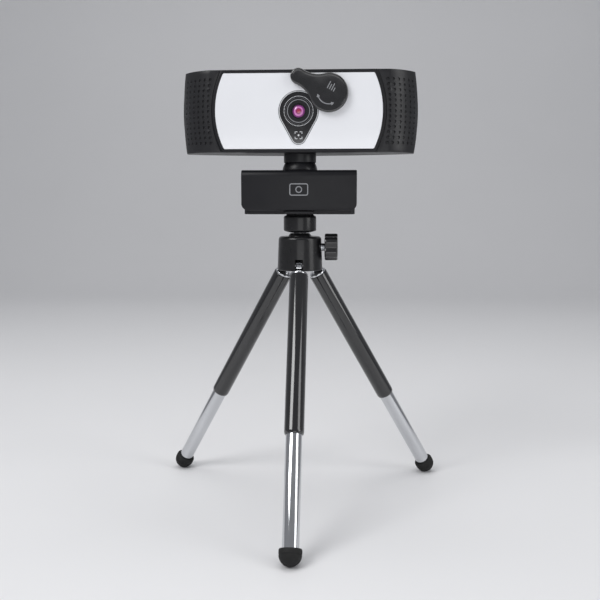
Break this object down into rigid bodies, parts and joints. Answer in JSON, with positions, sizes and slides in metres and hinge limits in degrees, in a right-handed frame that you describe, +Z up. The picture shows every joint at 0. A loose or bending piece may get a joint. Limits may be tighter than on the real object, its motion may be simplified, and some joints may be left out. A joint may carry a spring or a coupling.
{
  "type": "webcam on tripod",
  "caption": "Wide webcam with a swinging lens cover and folding monitor clip, standing on a small telescopic tripod with a lockable ball head.",
  "frame": {"origin": "on the surface the feet stand on, under the tripod's axis", "axes": "+Z up, -Y the way the lens looks, +X towards the lock knob"},
  "size_m": [0.136, 0.119, 0.1972],
  "materials": {
    "shell_black": "fine satin moulding",
    "bezel_black": "satin",
    "grille_black": "satin, dimpled",
    "panel_white": "gloss",
    "window_black": "high gloss",
    "cover_smoke": "high gloss, smoked",
    "lens_glass": "coated",
    "inner_black": "matte",
    "board_green": "solder mask",
    "rubber_black": "matte",
    "clip_black": "satin",
    "neck_black": "satin",
    "brass": "machined",
    "steel": "bright",
    "chrome": "polished",
    "hub_black": "satin gloss",
    "knob_black": "gloss",
    "tube_black": "gloss paint",
    "nylon_white": "natural nylon"
  },
  "bodies": {
    "hub": {"hub_body": "hub_black", "leg_pins": "steel"},
    "leg_front_upper": {"leg_front_knuckle": "chrome", "leg_front_outer_tube": "tube_black"},
    "leg_front_lower": {"leg_front_inner_tube": "chrome", "leg_front_bush": "nylon_white", "leg_front_foot": "rubber_black"},
    "leg_right_upper": {"leg_right_knuckle": "chrome", "leg_right_outer_tube": "tube_black"},
    "leg_right_lower": {"leg_right_inner_tube": "chrome", "leg_right_bush": "nylon_white", "leg_right_foot": "rubber_black"},
    "leg_left_upper": {"leg_left_knuckle": "chrome", "leg_left_outer_tube": "tube_black"},
    "leg_left_lower": {"leg_left_inner_tube": "chrome", "leg_left_bush": "nylon_white", "leg_left_foot": "rubber_black"},
    "ball_cup": {"ball_cup": "nylon_white"},
    "ball_stem": {"ball": "hub_black", "camera_stud": "steel"},
    "lock": {"lock_screw": "chrome", "lock_knob": "knob_black", "brake_tip": "nylon_white"},
    "platform": {"platform": "hub_black", "platform_pad": "rubber_black"},
    "clip_leg": {"clip_leg": "clip_black", "tripod_nut": "brass", "leg_pad": "rubber_black"},
    "clip_bridge": {"clip_bridge": "clip_black", "clip_hinge_pin": "steel", "jaw_pad": "rubber_black"},
    "turret": {"turret": "neck_black", "turret_ring": "steel", "tilt_pin": "steel"},
    "cover": {"privacy_cover": "cover_smoke", "cover_pin": "steel", "cover_pin_clip": "steel"},
    "head": {"neck_collar": "neck_black", "front_frame": "bezel_black", "face_plate": "panel_white", "lens_window": "window_black", "cap_left": "grille_black", "cap_right": "grille_black", "rear_shell": "shell_black", "cover_washer": "nylon_white", "lens_barrel": "inner_black", "front_lens": "lens_glass", "inner_lenses": "lens_glass", "lens_holder": "inner_black", "image_sensor": "inner_black", "ir_filter": "lens_glass", "main_board": "board_green", "board_chips": "inner_black", "cable_header": "inner_black", "ballast": "steel", "microphones": "steel", "mic_boots": "rubber_black", "mic_boards": "board_green", "cable_gland": "rubber_black", "housing_screws": "steel"}
  },
  "joints": [
    {"name": "leg_front_fold", "type": "hinge", "parent": "hub", "child": "leg_front_upper", "pos_m": [0, -0.0066, 0.1112], "axis": [1, 0, 0], "range_deg": [0, 32]},
    {"name": "leg_front_extend", "type": "slide", "parent": "leg_front_upper", "child": "leg_front_lower", "axis": [0, 0.5299, 0.848], "range_m": [0, 0.044]},
    {"name": "leg_right_fold", "type": "hinge", "parent": "hub", "child": "leg_right_upper", "pos_m": [0.00572, 0.0033, 0.1112], "axis": [-0.5, 0.866, 0], "range_deg": [0, 32]},
    {"name": "leg_right_extend", "type": "slide", "parent": "leg_right_upper", "child": "leg_right_lower", "axis": [-0.4589, -0.265, 0.848], "range_m": [0, 0.044]},
    {"name": "leg_left_fold", "type": "hinge", "parent": "hub", "child": "leg_left_upper", "pos_m": [-0.00572, 0.0033, 0.1112], "axis": [-0.5, -0.866, 0], "range_deg": [0, 32]},
    {"name": "leg_left_extend", "type": "slide", "parent": "leg_left_upper", "child": "leg_left_lower", "axis": [0.4589, -0.265, 0.848], "range_m": [0, 0.044]},
    {"name": "ball_pan", "type": "hinge", "parent": "hub", "child": "ball_cup", "pos_m": [0, 0, 0.1212], "axis": [0, 0, 1], "continuous": true},
    {"name": "ball_tilt", "type": "hinge", "parent": "ball_cup", "child": "ball_stem", "pos_m": [0, 0, 0.1212], "axis": [1, 0, 0], "range_deg": [-15, 15]},
    {"name": "lock_knob_turn", "type": "hinge", "parent": "hub", "child": "lock", "pos_m": [0.012, 0, 0.1192], "axis": [1, 0, 0], "continuous": true},
    {"name": "camera_turn", "type": "hinge", "parent": "ball_stem", "child": "platform", "pos_m": [0, 0, 0.1343], "axis": [0, 0, 1], "continuous": true},
    {"name": "camera_lift_off", "type": "slide", "parent": "platform", "child": "clip_leg", "axis": [0, 0, 1], "range_m": [0, 0.01]},
    {"name": "clip_open", "type": "hinge", "parent": "clip_leg", "child": "clip_bridge", "pos_m": [0, 0.0084, 0.1497], "axis": [-1, 0, 0], "range_deg": [0, 90]},
    {"name": "turret_pan", "type": "hinge", "parent": "clip_bridge", "child": "turret", "pos_m": [0, 0, 0.1539], "axis": [0, 0, 1], "range_deg": [-170, 170]},
    {"name": "head_tilt", "type": "hinge", "parent": "turret", "child": "head", "pos_m": [0, 0, 0.1533], "axis": [1, 0, 0], "range_deg": [-20, 20]},
    {"name": "cover_swing", "type": "hinge", "parent": "head", "child": "cover", "pos_m": [0, -0.0125, 0.19375], "axis": [0, -1, 0], "range_deg": [-62, 60]}
  ]
}
